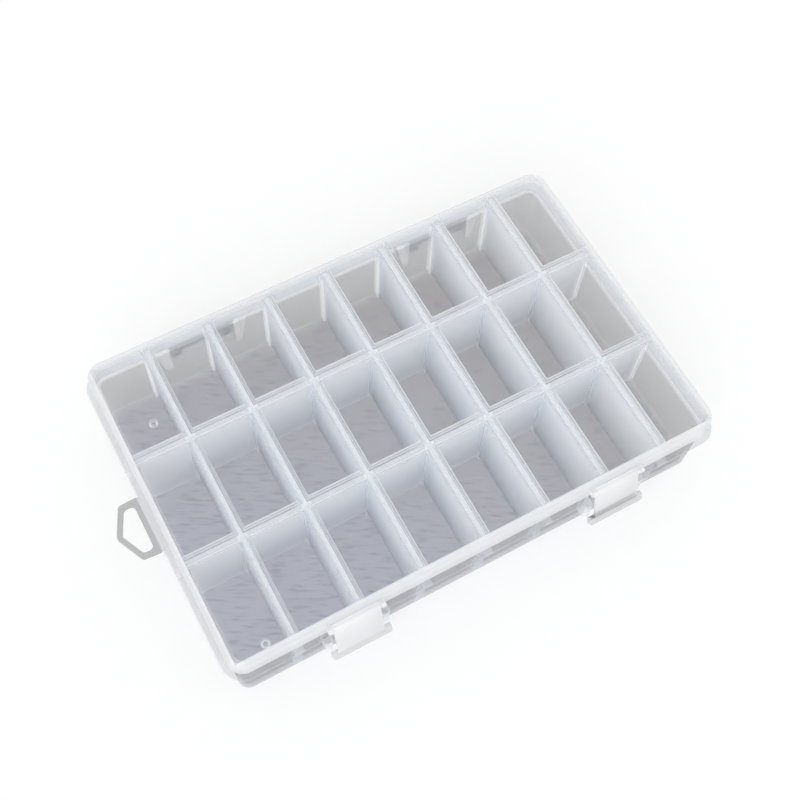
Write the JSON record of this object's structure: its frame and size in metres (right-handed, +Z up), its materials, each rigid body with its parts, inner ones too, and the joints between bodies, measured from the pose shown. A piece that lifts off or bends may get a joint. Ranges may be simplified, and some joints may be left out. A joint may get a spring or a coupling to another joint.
{
  "type": "bead organizer case",
  "caption": "Clear plastic bead case with a hinged lid, snap latches, lift-out dividers between fixed row walls and a hang loop",
  "frame": {"origin": "the middle of the plane that the four ring feet stand on, 0.6 mm under the flat underside of the tray", "axes": "+X along the long side with the hang loop at -X, +Y from the latches to the hinges, +Z up through the lid"},
  "size_m": [0.2069, 0.1359, 0.038],
  "materials": {
    "clear_tray": "clear natural polypropylene, glossy, slightly hazy",
    "clear_lid": "clear natural polypropylene, glossy",
    "clear_latch": "clear natural polypropylene, glossy, faint haze in the thick lip",
    "milky_divider": "milky translucent polypropylene, satin"
  },
  "bodies": {
    "base": {"base_tray": "clear_tray", "front_divider_1": "milky_divider", "front_divider_2": "milky_divider", "front_divider_3": "milky_divider", "front_divider_4": "milky_divider", "front_divider_5": "milky_divider", "front_divider_6": "milky_divider", "front_divider_7": "milky_divider", "middle_divider_1": "milky_divider", "middle_divider_2": "milky_divider", "middle_divider_3": "milky_divider", "middle_divider_4": "milky_divider", "middle_divider_5": "milky_divider", "middle_divider_6": "milky_divider", "middle_divider_7": "milky_divider", "rear_divider_1": "milky_divider", "rear_divider_2": "milky_divider", "rear_divider_3": "milky_divider", "rear_divider_4": "milky_divider", "rear_divider_5": "milky_divider", "rear_divider_6": "milky_divider", "rear_divider_7": "milky_divider"},
    "lid": {"lid": "clear_lid"},
    "left_latch": {"left_latch": "clear_latch"},
    "right_latch": {"right_latch": "clear_latch"}
  },
  "joints": [
    {"name": "lid_hinge", "type": "hinge", "parent": "base", "child": "lid", "pos_m": [0, 0.0642, 0.0192], "axis": [-1, 0, 0], "range_deg": [0, 180]},
    {"name": "left_latch_hinge", "type": "hinge", "parent": "lid", "child": "left_latch", "pos_m": [-0.0514, -0.0635, 0.03464], "axis": [-1, 0, 0], "range_deg": [0, 75]},
    {"name": "right_latch_hinge", "type": "hinge", "parent": "lid", "child": "right_latch", "pos_m": [0.0514, -0.0635, 0.03464], "axis": [-1, 0, 0], "range_deg": [0, 75]}
  ]
}
